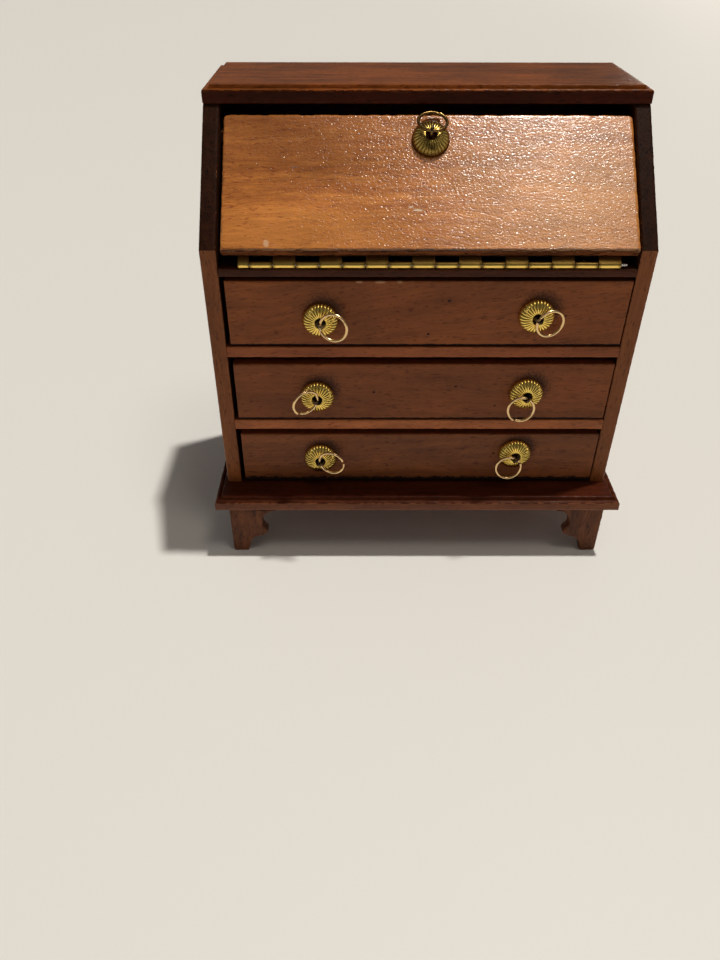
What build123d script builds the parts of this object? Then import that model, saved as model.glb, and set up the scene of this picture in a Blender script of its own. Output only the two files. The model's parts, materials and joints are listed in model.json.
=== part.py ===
from build123d import *
import math
import os

# Slant-front bureau for a 1:12 dolls' house. Millimetres, +Z up, the front faces -Y.
# The origin is the middle of the footprint, on the surface that the feet stand on.

# Overall
carcass_width = 80.0
carcass_depth = 42.7
plinth_lip_front = 6.5
plinth_lip_side = 2.0
foot_height = 11.7
plinth_thickness = 2.6
knee_height = 64.8
top_underside = 84.3
top_thickness = 2.9
side_thickness = 2.9
board_gap = 0.1
cut_margin = 1.0

# Planes that everything is measured from
total_depth = carcass_depth + plinth_lip_front
front_y = plinth_lip_front - total_depth / 2
back_y = front_y + carcass_depth
plinth_top = foot_height + plinth_thickness
inner_half = carcass_width / 2 - side_thickness
slant_run = top_underside - knee_height

# Moulded edge of the top and plinth boards
step_inset = 1.25
step_height = 0.5
bead_radius = 0.7
top_board_lap = 0.3

# Back, dividers and the inside of the desk
back_thickness = 1.5
divider_thickness = 2.2
divider_heights = {"lower": 27.7, "upper": 44.0}
writing_top = 61.45
writing_thickness = 1.5
inside_depth = carcass_depth - back_thickness
shelf_height = 72.5
shelf_thickness = 1.0
shelf_setback = 14.0
pigeonhole_setback = 16.0
pigeonhole_count = 4

# Lid
lid_angle = 43.5
lid_thickness = 1.8
lid_width = 73.15
lid_length = 26.1
lid_shift = 0.28
lid_hem = 1.3
lid_corner_radius = 0.9
lid_face_easing = 0.35
lid_stop_size = 2.0
lid_stop_width = 3.0
lid_stop_reach = 24.0

# Piano hinge
barrel_radius = 0.65
bore_radius = 0.33
pin_radius = 0.27
leaf_thickness = 0.25
leaf_width = 4.6
leaf_relief = 0.1
knuckle_pitch = 4.09
knuckle_gap = 0.1
knuckle_count = 17
hinge_right = 34.0
hinge_axis_in = 0.4
pin_overhang = 1.1
brad_count = 6
brad_radius = 0.2
brad_length = 1.1
brad_head_radius = 0.45
brad_head_height = 0.2

# Drawers: the front's lowest and highest edges, and what each runs on
drawer_fronts = {"lower": (14.6, 26.4), "middle": (30.2, 42.5), "upper": (46.6, 59.2)}
drawer_floors = {
    "lower": plinth_top,
    "middle": divider_heights["lower"] + divider_thickness,
    "upper": divider_heights["upper"] + divider_thickness,
}
drawer_width = 73.15
drawer_shift = 0.33
drawer_front_thickness = 2.6
drawer_board = 1.5
drawer_base_thickness = 1.0
drawer_base_lift = 0.8
drawer_box_drop = 1.2
drawer_length = 40.2
drawer_easing = 0.2

# Pulls: bead cap, split-pin eye and open wire ring
rosette_radius = 3.4
rosette_height = 1.75
rosette_wall = 0.25
rosette_rim = 0.1
rosette_hole = 0.98
shank_radius = 0.33
shank_clearance = 0.03
drawer_eye_reach = 2.2
lid_eye_reach = 2.7
eye_radius = 0.72
eye_wire = 0.22
leg_length = 1.7
ring_radius = 2.55
ring_wire = 0.28
ring_gap_angle = 9.0
lid_pull_up = 21.1
lid_pull_x = 0.6
# Sideways place, height, the way the ring points round the face, and its swing off the face
drawer_pulls = {
    "upper_left": (-19.2, 51.8, -6.0, 16.0),
    "upper_right": (20.4, 52.6, -20.0, -14.0),
    "middle_left": (-20.3, 35.5, 165.0, 31.0),
    "middle_right": (20.6, 36.2, 245.0, 4.0),
    "lower_left": (-20.1, 20.7, 14.0, 16.0),
    "lower_right": (20.1, 21.8, 238.0, 2.0),
}
lid_pull_turn = 84.0
lid_pull_swing = -21.0

# Bracket feet
bracket_length = 10.0
bracket_toe = 3.2
bracket_thickness = 2.4
bracket_inset = 2.7
bracket_set_in = 0.55


def box(x, y, z):
    """A block between the limits of three (low, high) pairs."""
    block = Box(x[1] - x[0], y[1] - y[0], z[1] - z[0])
    return Pos((x[0] + x[1]) / 2, (y[0] + y[1]) / 2, (z[0] + z[1]) / 2) * block


def along_x(section, x_from, x_to):
    """A solid whose (y, z) outline runs from x_from to x_to."""
    plane = Plane(origin=(x_from, 0, 0), x_dir=(0, 1, 0), z_dir=(1, 0, 0))
    return extrude(plane * section, amount=x_to - x_from)


def rod(start, direction, radius, length):
    """A round bar from a point along a direction."""
    plane = Plane(origin=start, z_dir=direction)
    return extrude(plane * Circle(radius), amount=length)


def moulded_board(x_half, y_front, y_back, z_low, z_high):
    """A board with a step and a bead along its front and both ends."""
    shoulder = z_high - step_height
    lower = box((-x_half, x_half), (y_front, y_back), (z_low, shoulder))
    rounded = []
    for edge in lower.edges().group_by(Axis.Z)[-1]:
        if edge.center().Y < y_back - bead_radius:
            rounded.append(edge)
    lower = fillet(rounded, bead_radius)
    inner = x_half - step_inset
    upper = box((-inner, inner), (y_front + step_inset, y_back), (shoulder, z_high))
    return lower + upper


# Carcass
def side_panel(sign):
    outline = Polyline(
        (front_y, plinth_top),
        (front_y, knee_height),
        (front_y + slant_run, top_underside),
        (back_y, top_underside),
        (back_y, plinth_top),
        close=True,
    )
    low, high = sorted((sign * inner_half, sign * carcass_width / 2))
    return along_x(make_face(outline), low, high)


def shelf_board(y_in, top, thickness):
    """A level board between the side panels, from y_in behind the front to the back panel."""
    return box((-inner_half, inner_half), (front_y + y_in, front_y + inside_depth), (top - thickness, top))


def bracket_profile():
    """The bracket seen from its face: (distance from the corner, height)."""
    top = foot_height
    toe = Line((bracket_toe, 0), (bracket_toe + 0.3, 1.2))
    calf = ThreePointArc((bracket_toe + 0.3, 1.2), (bracket_toe + 0.9, 2.9), (4.9, 3.6))
    sole = Line((4.9, 3.6), (6.9, 4.4))
    nub = ThreePointArc((6.9, 4.4), (7.7, 5.1), (7.4, 6.0))
    waist = ThreePointArc((7.4, 6.0), (6.7, 7.1), (6.9, 8.3))
    flare = ThreePointArc((6.9, 8.3), (7.7, 10.1), (bracket_length, 10.9))
    edge = Polyline((bracket_length, 10.9), (bracket_length, top), (0, top), (0, 0), (bracket_toe, 0))
    return make_face([toe, calf, sole, nub, waist, flare, edge])


def bracket(corner, run, face):
    """A bracket foot from its corner along run, with its outer face looking along face."""
    run = Vector(*run)
    face = Vector(*face)
    plane = Plane(origin=corner, x_dir=run, z_dir=run.cross(Vector(0, 0, 1)))
    depth = bracket_thickness if plane.z_dir.dot(face) < 0 else -bracket_thickness
    return extrude(plane * bracket_profile(), amount=depth)


def mitre(foot, corner, run, face):
    """Cuts a bracket's corner back at 45 degrees so that its neighbour meets it."""
    normal = Vector(*run) + Vector(*face)
    cut = Plane(origin=corner, z_dir=normal)
    return split(foot, bisect_by=cut, keep=Keep.TOP)


# Lid frame: along the slope, and out from its outer face
slope = math.radians(lid_angle)
lid_up = Vector(0, math.cos(slope), math.sin(slope))
lid_out = Vector(0, -math.sin(slope), math.cos(slope))
hinge_axis = Vector(0, front_y + hinge_axis_in, writing_top + barrel_radius)
lid_inner_foot = hinge_axis + lid_out * barrel_radius
lid_foot = lid_inner_foot + lid_up * lid_hem + lid_out * lid_thickness


def on_lid(x, up, out):
    """A point on the lid: across, up the slope from its lower edge, out from its outer face."""
    return Vector(x, 0, 0) + lid_foot + lid_up * up + lid_out * out


def lid_panel():
    half = lid_width / 2
    panel = box((lid_shift - half, lid_shift + half), (0, lid_length), (-lid_thickness, 0))
    uprights = panel.edges().filter_by(Axis.Z)
    upper_corners = uprights.sort_by(Axis.Y)[-2:]
    panel = fillet(upper_corners, lid_corner_radius)
    panel = fillet(panel.edges().group_by(Axis.Z)[-1], lid_face_easing)
    plane = Plane(origin=on_lid(0, 0, 0), x_dir=(1, 0, 0), z_dir=lid_out)
    return plane * panel


# Hinge
def knuckle_spans():
    """The (low, high) place of each knuckle along the pin; the first is cut to half length."""
    spans = []
    for index in range(knuckle_count):
        high = hinge_right - (knuckle_count - 1 - index) * knuckle_pitch
        low = high - knuckle_pitch * (0.5 if index == 0 else 1.0)
        spans.append((low + knuckle_gap / 2, high - knuckle_gap / 2))
    return spans


hinge_left = knuckle_spans()[0][0]
brad_places = []
for brad in range(brad_count):
    reach = (brad + 0.5) / brad_count
    brad_places.append(hinge_left + reach * (hinge_right - hinge_left))


def hinge_leaf(along, outward, keep):
    """A leaf of the piano hinge: plate, stems and the knuckles whose index passes keep.

    along runs from the pin across the plate, outward points at the wood that it lies on."""
    seat = hinge_axis + outward * barrel_radius
    plate_plane = Plane(origin=seat, x_dir=(1, 0, 0), z_dir=-outward)
    side = 1 if plate_plane.y_dir.dot(along) > 0 else -1

    def plate(x, reach):
        y = sorted((side * reach[0], side * reach[1]))
        return plate_plane * box(x, y, (0, leaf_thickness))

    leaf = plate((hinge_left, hinge_right), (lid_hem + leaf_relief, leaf_width))
    for index, span in enumerate(knuckle_spans()):
        if not keep(index):
            continue
        tube = rod(Vector(span[0], hinge_axis.Y, hinge_axis.Z), (1, 0, 0), barrel_radius, span[1] - span[0])
        leaf += tube + plate(span, (0, lid_hem + 2 * leaf_relief))
    bore_start = Vector(hinge_left - cut_margin, hinge_axis.Y, hinge_axis.Z)
    leaf -= rod(bore_start, (1, 0, 0), bore_radius, hinge_right - hinge_left + 2 * cut_margin)
    for x in brad_places:
        hole_foot = seat + Vector(x, 0, 0) + along * brad_reach
        leaf -= rod(hole_foot, -outward, brad_radius, leaf_thickness)
    return leaf


def hinge_brads(along, outward):
    """Round-headed brads through a leaf into the wood."""
    brads = []
    seat = hinge_axis + outward * barrel_radius
    for x in brad_places:
        face = seat + Vector(x, 0, 0) + along * brad_reach - outward * leaf_thickness
        shank = rod(face, outward, brad_radius, brad_length + leaf_thickness)
        head = rod(face, -outward, brad_head_radius, brad_head_height)
        brads.append(shank + head)
    return brads


def brad_holes(along, outward):
    """The holes that those brads make in the wood."""
    seat = hinge_axis + outward * barrel_radius
    holes = []
    for x in brad_places:
        holes.append(rod(seat + Vector(x, 0, 0) + along * brad_reach, outward, brad_radius, brad_length))
    return holes


brad_reach = (lid_hem + leaf_width) / 2
case_along = Vector(0, 1, 0)
case_outward = Vector(0, 0, -1)


# Drawers
def drawer(name):
    """The five boards of one drawer, by the name of the board."""
    low, high = drawer_fronts[name]
    half = drawer_width / 2
    front_x = (drawer_shift - half, drawer_shift + half)
    front = box(front_x, (front_y, front_y + drawer_front_thickness), (low, high))
    front = fillet(front.edges().group_by(Axis.Y)[0], drawer_easing)
    side_x = drawer_shift + half - board_gap
    back_end = front_y + drawer_length
    start = front_y + drawer_front_thickness
    foot = drawer_floors[name] + board_gap
    rim = high - drawer_box_drop
    inner = side_x - drawer_board
    left_x = 2 * drawer_shift - side_x
    left_inner = left_x + drawer_board
    base_z = foot + drawer_base_lift
    boards = {
        "front": front,
        "side_left": box((left_x, left_inner), (start, back_end), (foot, rim)),
        "side_right": box((inner, side_x), (start, back_end), (foot, rim)),
        "back": box((left_inner, inner), (back_end - drawer_board, back_end), (foot, rim)),
        "base": box(
            (left_inner, inner),
            (start, back_end - drawer_board),
            (base_z, base_z + drawer_base_thickness),
        ),
    }
    for key, (x, z, turn, swing) in drawer_pulls.items():
        if key.startswith(name):
            start = (x, front_y - cut_margin, z)
            through = drawer_front_thickness + 2 * cut_margin
            boards["front"] -= rod(start, (0, 1, 0), shank_radius + shank_clearance, through)
    return boards


# Pulls: made on a plane whose z looks out of the wood, and whose x is the way the ring points
def pull_plane(centre, out, right, turn):
    """The plane of a pull that is turned by an angle round its shank."""
    face = Plane(origin=centre, x_dir=right, z_dir=out)
    return face * Rot(0, 0, turn)


def dome_arc(top, foot):
    """The arc that leaves its top level and comes round to its foot: (distance out, height)."""
    run = foot[0] - top[0]
    drop = top[1] - foot[1]
    radius = (run**2 + drop**2) / (2 * drop)
    lean = math.asin(run / radius) / 2
    middle = (top[0] + radius * math.sin(lean), top[1] - radius * (1 - math.cos(lean)))
    return ThreePointArc(top, middle, foot)


def rosette(place):
    """A pressed bead cap: a thin dome with a hole in the middle, in which the eye sits."""
    inner_top = rosette_height - rosette_wall
    inner_foot = rosette_radius - rosette_wall
    outer = dome_arc((rosette_hole, rosette_height), (rosette_radius, rosette_rim))
    inner = dome_arc((rosette_hole, inner_top), (inner_foot, 0))
    rim = Line((rosette_radius, rosette_rim), (rosette_radius, 0))
    foot = Line((rosette_radius, 0), (inner_foot, 0))
    mouth = Line((rosette_hole, inner_top), (rosette_hole, rosette_height))
    section = Plane.XZ * make_face([outer, rim, foot, inner, mouth])
    return place * revolve(section, Axis.Z, 360)


def eye(place, reach, wood):
    """A split pin: its eye in front, its shank through the wood, its legs bent over behind."""
    loop_plane = Plane(origin=(0, 0, reach), x_dir=(1, 0, 0), z_dir=(0, 1, 0))
    loop = loop_plane * Torus(eye_radius, eye_wire)
    neck = reach - eye_radius
    pin = rod((0, 0, neck), (0, 0, -1), shank_radius, neck + wood + eye_wire)
    legs = rod((-leg_length, 0, -wood - eye_wire), (1, 0, 0), eye_wire, 2 * leg_length)
    return place * (loop + pin + legs)


def ring(place, reach, swing):
    """An open wire ring through the eye, swung off the face round the eye's hole."""
    swing_plane = Plane(origin=(0, 0, reach), x_dir=(1, 0, 0), z_dir=(0, 0, 1)) * Rot(0, -swing, 0)
    wire = CenterArc((ring_radius, 0), ring_radius, ring_gap_angle / 2, 360 - ring_gap_angle)
    section = Plane(origin=wire @ 0, z_dir=wire % 0) * Circle(ring_wire)
    return place * swing_plane * sweep(section, path=wire)


parts = {}
top_front = front_y + slant_run - top_board_lap
parts["top_board"] = moulded_board(
    carcass_width / 2, top_front, back_y, top_underside, top_underside + top_thickness
)
parts["plinth_board"] = moulded_board(
    carcass_width / 2 + plinth_lip_side, front_y - plinth_lip_front, back_y, foot_height, plinth_top
)
parts["side_left"] = side_panel(-1)
parts["side_right"] = side_panel(1)
parts["back_panel"] = box(
    (-inner_half, inner_half), (front_y + inside_depth, back_y), (plinth_top, top_underside)
)
for name, height in divider_heights.items():
    parts[f"divider_{name}"] = shelf_board(0, height + divider_thickness, divider_thickness)
parts["writing_board"] = shelf_board(0, writing_top, writing_thickness)
for hole in brad_holes(case_along, case_outward):
    parts["writing_board"] -= hole
parts["pigeonhole_shelf"] = shelf_board(shelf_setback, shelf_height + shelf_thickness, shelf_thickness)
for index in range(1, pigeonhole_count):
    x = -inner_half + 2 * inner_half * index / pigeonhole_count
    parts[f"pigeonhole_divider_{index}"] = box(
        (x - shelf_thickness / 2, x + shelf_thickness / 2),
        (front_y + pigeonhole_setback, front_y + inside_depth),
        (writing_top, shelf_height),
    )
stop_corner = on_lid(0, lid_stop_reach, -lid_thickness - board_gap)
for side, sign in (("left", -1), ("right", 1)):
    reach = sorted((sign * inner_half, sign * (inner_half - lid_stop_width)))
    parts[f"lid_stop_{side}"] = box(
        reach,
        (stop_corner.Y, stop_corner.Y + lid_stop_size),
        (stop_corner.Z - lid_stop_size, stop_corner.Z),
    )

# Feet
corner_x = carcass_width / 2 + plinth_lip_side - bracket_inset
corner_front = front_y - plinth_lip_front + bracket_set_in
corner_back = back_y - bracket_set_in
for side, sign in (("left", -1), ("right", 1)):
    front_corner = (sign * corner_x, corner_front, 0)
    back_corner = (sign * corner_x, corner_back, 0)
    inward = (-sign, 0, 0)
    outward = (sign, 0, 0)
    front_foot = bracket(front_corner, inward, (0, -1, 0))
    parts[f"foot_front_{side}"] = mitre(front_foot, front_corner, inward, (0, -1, 0))
    side_foot = bracket(front_corner, (0, 1, 0), outward)
    parts[f"foot_side_front_{side}"] = mitre(side_foot, front_corner, (0, 1, 0), outward)
    parts[f"foot_side_back_{side}"] = bracket(back_corner, (0, -1, 0), outward)

# Lid and hinge
parts["lid"] = lid_panel()
lid_pull_centre = on_lid(lid_pull_x, lid_pull_up, 0)
lid_hole_start = lid_pull_centre + lid_out * cut_margin
lid_through = lid_thickness + 2 * cut_margin
parts["lid"] -= rod(lid_hole_start, -lid_out, shank_radius + shank_clearance, lid_through)
for hole in brad_holes(lid_up, lid_out):
    parts["lid"] -= hole
parts["hinge_leaf_lid"] = hinge_leaf(lid_up, lid_out, lambda index: index % 2 == 0)
parts["hinge_leaf_case"] = hinge_leaf(case_along, case_outward, lambda index: index % 2 == 1)
pin_start = Vector(hinge_left, hinge_axis.Y, hinge_axis.Z)
parts["hinge_pin"] = rod(pin_start, (1, 0, 0), pin_radius, hinge_right + pin_overhang - hinge_left)
parts["hinge_brads_lid"] = Compound(children=hinge_brads(lid_up, lid_out))
parts["hinge_brads_case"] = Compound(children=hinge_brads(case_along, case_outward))

# Drawers and pulls
eyes = {name: [] for name in drawer_fronts}
for name in drawer_fronts:
    for board, solid in drawer(name).items():
        parts[f"drawer_{name}_{board}"] = solid
for key, (x, z, turn, swing) in drawer_pulls.items():
    place = pull_plane((x, front_y, z), (0, -1, 0), (1, 0, 0), turn)
    parts[f"rosette_{key}"] = rosette(place)
    parts[f"ring_{key}"] = ring(place, drawer_eye_reach, swing)
    eyes[key.split("_")[0]].append(eye(place, drawer_eye_reach, drawer_front_thickness))
for name, pair in eyes.items():
    parts[f"eyes_{name}"] = Compound(children=pair)
lid_place = pull_plane(lid_pull_centre, lid_out, (1, 0, 0), lid_pull_turn)
parts["rosette_lid"] = rosette(lid_place)
parts["eye_lid"] = eye(lid_place, lid_eye_reach, lid_thickness)
parts["ring_lid"] = ring(lid_place, lid_eye_reach, lid_pull_swing)

os.makedirs("parts", exist_ok=True)
for name, solid in parts.items():
    export_step(solid, f"parts/{name}.step")
print(len(parts), "parts written")
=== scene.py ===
import json
import math
import random

import bmesh
import bpy
from mathutils import Matrix, Vector, noise


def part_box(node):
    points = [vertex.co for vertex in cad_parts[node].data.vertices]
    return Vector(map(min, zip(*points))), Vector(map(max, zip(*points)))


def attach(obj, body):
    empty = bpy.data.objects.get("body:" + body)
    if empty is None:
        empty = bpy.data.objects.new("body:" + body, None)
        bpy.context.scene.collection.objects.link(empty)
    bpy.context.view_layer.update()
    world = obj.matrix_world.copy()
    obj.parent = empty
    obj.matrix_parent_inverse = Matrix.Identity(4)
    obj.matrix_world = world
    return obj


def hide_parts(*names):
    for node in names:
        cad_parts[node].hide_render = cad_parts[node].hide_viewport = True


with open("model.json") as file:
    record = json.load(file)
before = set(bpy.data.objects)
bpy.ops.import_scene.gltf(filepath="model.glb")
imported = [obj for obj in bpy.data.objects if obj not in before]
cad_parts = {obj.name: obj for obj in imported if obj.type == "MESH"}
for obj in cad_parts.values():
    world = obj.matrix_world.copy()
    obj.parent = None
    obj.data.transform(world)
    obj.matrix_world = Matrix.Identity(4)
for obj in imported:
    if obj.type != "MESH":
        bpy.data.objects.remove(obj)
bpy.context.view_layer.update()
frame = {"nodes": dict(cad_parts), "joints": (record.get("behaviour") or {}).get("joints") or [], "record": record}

mm = 0.001  # shapes are worked out in millimetres and laid down in metres
across, inward, upright = Vector((1, 0, 0)), Vector((0, 1, 0)), Vector((0, 0, 1))
bodyOf = {node: body for body, nodes in frame["record"]["behaviour"]["bodies"].items() for node in nodes}
jointOf = {joint["name"]: joint for joint in frame["joints"]}


def boxOf(node):
    low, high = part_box(node)
    return low / mm, high / mm


def reach(node, direction):
    places = [vertex.co.dot(direction) / mm for vertex in frame["nodes"][node].data.vertices]
    return min(places), max(places)


def tone(red, green, blue):
    # a colour picked on a screen, as the shader wants it
    shares = [value / 255 for value in (red, green, blue)]
    return tuple(((s + 0.055) / 1.055) ** 2.4 if s > 0.04 else s / 12.92 for s in shares) + (1,)


# node graph helpers
def feed(tree, node, inputs):
    for key, value in inputs.items():
        if isinstance(value, bpy.types.NodeSocket):
            tree.links.new(value, node.inputs[key])
        else:
            node.inputs[key].default_value = value


def addNode(tree, kind, inputs=None, **settings):
    node = tree.nodes.new(kind)
    for key, value in settings.items():
        setattr(node, key, value)
    feed(tree, node, inputs or {})
    return node


def calc(tree, operation, a, b=0.0, clamp=False):
    return addNode(tree, "ShaderNodeMath", {0: a, 1: b}, operation=operation, use_clamp=clamp).outputs[0]


def mixColour(tree, factor, a, b, blend="MIX"):
    inputs = {0: factor, 6: a, 7: b}
    return addNode(tree, "ShaderNodeMix", inputs, data_type="RGBA", blend_type=blend).outputs[2]


def span(tree, value, low, high, toLow=0.0, toHigh=1.0):
    inputs = {0: value, 1: low, 2: high, 3: toLow, 4: toHigh}
    return addNode(tree, "ShaderNodeMapRange", inputs).outputs[0]


def vectorCalc(tree, operation, a, b):
    return addNode(tree, "ShaderNodeVectorMath", {0: a, 1: b}, operation=operation).outputs[0]


def stretch(tree, vector, scale):
    return vectorCalc(tree, "MULTIPLY", vector, scale)


def cloud(tree, vector, scale, detail=2.0, roughness=0.5, distortion=0.0):
    inputs = {"Vector": vector, "Scale": scale, "Detail": detail, "Roughness": roughness}
    inputs["Distortion"] = distortion
    return addNode(tree, "ShaderNodeTexNoise", inputs).outputs[0]


def startGroup(name, inputs, outputs):
    group = bpy.data.node_groups.new(name, "ShaderNodeTree")
    for label, kind, value in inputs:
        socket = group.interface.new_socket(label, in_out="INPUT", socket_type=kind)
        if value is not None:
            socket.default_value = value
    for label, kind in outputs:
        group.interface.new_socket(label, in_out="OUTPUT", socket_type=kind)
    return group, addNode(group, "NodeGroupInput").outputs, addNode(group, "NodeGroupOutput").inputs


def makeGrainGroup():
    # stained hardwood in millimetres, grain along X
    group, given, result = startGroup(
        "stainedGrain",
        [
            ("Place", "NodeSocketVector", None),
            ("Light", "NodeSocketColor", (0.3, 0.12, 0.05, 1)),
            ("Dark", "NodeSocketColor", (0.1, 0.04, 0.02, 1)),
            ("Streak", "NodeSocketFloat", 1.0),
            ("Fibre", "NodeSocketFloat", 0.3),
            ("Pores", "NodeSocketFloat", 0.5),
            ("Blotch", "NodeSocketFloat", 0.3),
        ],
        [("Color", "NodeSocketColor"), ("Height", "NodeSocketFloat"), ("Patch", "NodeSocketFloat")],
    )
    place = given["Place"]
    drift = addNode(group, "ShaderNodeTexNoise", {"Vector": place, "Scale": 0.09, "Detail": 2.0}).outputs[1]
    drift = vectorCalc(group, "SUBTRACT", drift, (0.5, 0.5, 0.5))
    bent = vectorCalc(group, "ADD", place, stretch(group, drift, (0.0, 2.5, 2.5)))
    wide = cloud(group, stretch(group, bent, (0.05, 1, 1)), 0.75, 5.0, 0.65, 0.2)
    streaks = span(group, wide, 0.3, 0.7)
    fine = cloud(group, stretch(group, bent, (0.07, 1, 1)), 3.6, 3.0, 0.6)
    dashes = span(group, cloud(group, stretch(group, bent, (0.22, 1, 1)), 3.1, 1.0), 0.60, 0.70)
    patch = cloud(group, stretch(group, place, (0.5, 1, 1)), 0.13, 3.0, 0.55)
    share = calc(group, "MULTIPLY", streaks, given["Streak"], True)
    bare = mixColour(group, share, given["Dark"], given["Light"])
    threads = calc(group, "MULTIPLY", calc(group, "SUBTRACT", 0.5, fine), given["Fibre"])
    cloudy = calc(group, "MULTIPLY", calc(group, "SUBTRACT", patch, 0.5), given["Blotch"])
    gain = calc(group, "ADD", calc(group, "ADD", threads, cloudy), 1.0)
    scaled = addNode(group, "ShaderNodeVectorMath", {0: bare, 3: gain}, operation="SCALE").outputs[0]
    holes = calc(group, "MULTIPLY", dashes, given["Pores"], True)
    group.links.new(mixColour(group, holes, scaled, given["Dark"], "MULTIPLY"), result["Color"])
    group.links.new(calc(group, "SUBTRACT", calc(group, "MULTIPLY", fine, 0.5), holes), result["Height"])
    group.links.new(patch, result["Patch"])
    return group


def makePeelGroup():
    # the orange peel of thick gloss varnish, in millimetres
    group, given, result = startGroup(
        "varnishPeel",
        [("Place", "NodeSocketVector", None), ("Scale", "NodeSocketFloat", 1.0)],
        [("Height", "NodeSocketFloat")],
    )
    place = stretch(group, given["Place"], (0.75, 1, 1))
    coarse = cloud(group, place, given["Scale"], 1.5, 0.5, 0.6)
    finer = cloud(group, place, calc(group, "MULTIPLY", given["Scale"], 3.1), 1.0)
    group.links.new(calc(group, "ADD", coarse, calc(group, "MULTIPLY", finer, 0.22)), result["Height"])
    return group


def makeTarnishGroup():
    group, given, result = startGroup(
        "tarnish",
        [
            ("Place", "NodeSocketVector", None),
            ("Bright", "NodeSocketColor", (0.8, 0.6, 0.25, 1)),
            ("Dull", "NodeSocketColor", (0.2, 0.12, 0.05, 1)),
            ("Cover", "NodeSocketFloat", 0.4),
            ("Hollow", "NodeSocketFloat", 0.0),
        ],
        [("Color", "NodeSocketColor"), ("DirtAndShade", "NodeSocketFloat"), ("Height", "NodeSocketFloat")],
    )
    broad = cloud(group, given["Place"], 0.7, 3.0, 0.6)
    small = cloud(group, given["Place"], 4.5, 3.0, 0.6)
    film = calc(group, "ADD", calc(group, "MULTIPLY", broad, 0.65), calc(group, "MULTIPLY", small, 0.35))
    film = calc(group, "ADD", film, calc(group, "SUBTRACT", given["Cover"], 0.5))
    dirtAndShade = calc(group, "MAXIMUM", span(group, film, 0.42, 0.66), given["Hollow"], True)
    group.links.new(mixColour(group, dirtAndShade, given["Bright"], given["Dull"]), result["Color"])
    group.links.new(dirtAndShade, result["DirtAndShade"])
    group.links.new(small, result["Height"])
    return group


grainGroup = makeGrainGroup()
peelGroup = makePeelGroup()
tarnishGroup = makeTarnishGroup()


def startMaterial(name):
    material = bpy.data.materials.new(name)
    material.use_nodes = True
    tree = material.node_tree
    tree.nodes.clear()
    shader = addNode(tree, "ShaderNodeBsdfPrincipled")
    output = addNode(tree, "ShaderNodeOutputMaterial")
    tree.links.new(shader.outputs[0], output.inputs[0])
    return material, tree, shader


def ownPlace(tree, turn=(0, 0, 0), shift=(0, 0, 0)):
    # millimetres in the piece's own frame, turned so that the grain runs along X
    local = addNode(tree, "ShaderNodeTexCoord").outputs["Object"]
    inputs = {"Vector": local, "Location": shift, "Scale": (1 / mm, 1 / mm, 1 / mm)}
    inputs["Rotation"] = [math.radians(angle) for angle in turn]
    return addNode(tree, "ShaderNodeMapping", inputs).outputs[0]


spotLook = {"broad": 5, "pitch": 2600.0, "ragged": 0.9, "softEdge": (1.7, 0.5), "crispEdge": (1.55, 1.15),
            "dull": 0.25}


def spot(tree, centre, size):
    # a patch round a place on the object, in millimetres: a broad one fades out, a small one is crisp
    local = addNode(tree, "ShaderNodeTexCoord").outputs["Object"]
    away = vectorCalc(tree, "SUBTRACT", local, centre * mm)
    away = stretch(tree, away, tuple(1 / (s * mm) for s in size))
    length = addNode(tree, "ShaderNodeVectorMath", {0: away}, operation="LENGTH").outputs["Value"]
    ragged = calc(tree, "MULTIPLY", cloud(tree, local, spotLook["pitch"], 2.0), spotLook["ragged"])
    outer, inner = spotLook["softEdge" if max(size) > spotLook["broad"] else "crispEdge"]
    return span(tree, calc(tree, "ADD", length, ragged), outer, inner)


hemLook = {"pitch": 1100.0, "ragged": 1.6, "fade": 0.3, "dull": 0.5}


def edgeBand(tree, direction, start, width):
    # a ragged strip along the side of the piece that lies at start along direction, in millimetres
    local = addNode(tree, "ShaderNodeTexCoord").outputs["Object"]
    inputs = {0: local, 1: direction / mm}
    depth = addNode(tree, "ShaderNodeVectorMath", inputs, operation="DOT_PRODUCT").outputs["Value"]
    ragged = cloud(tree, stretch(tree, local, (0.6, 1, 1)), hemLook["pitch"], 4.0, 0.7)
    ragged = calc(tree, "MULTIPLY", ragged, width * hemLook["ragged"])
    depth = calc(tree, "SUBTRACT", calc(tree, "SUBTRACT", depth, start), ragged)
    return span(tree, depth, width * hemLook["fade"], 0.0)


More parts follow.
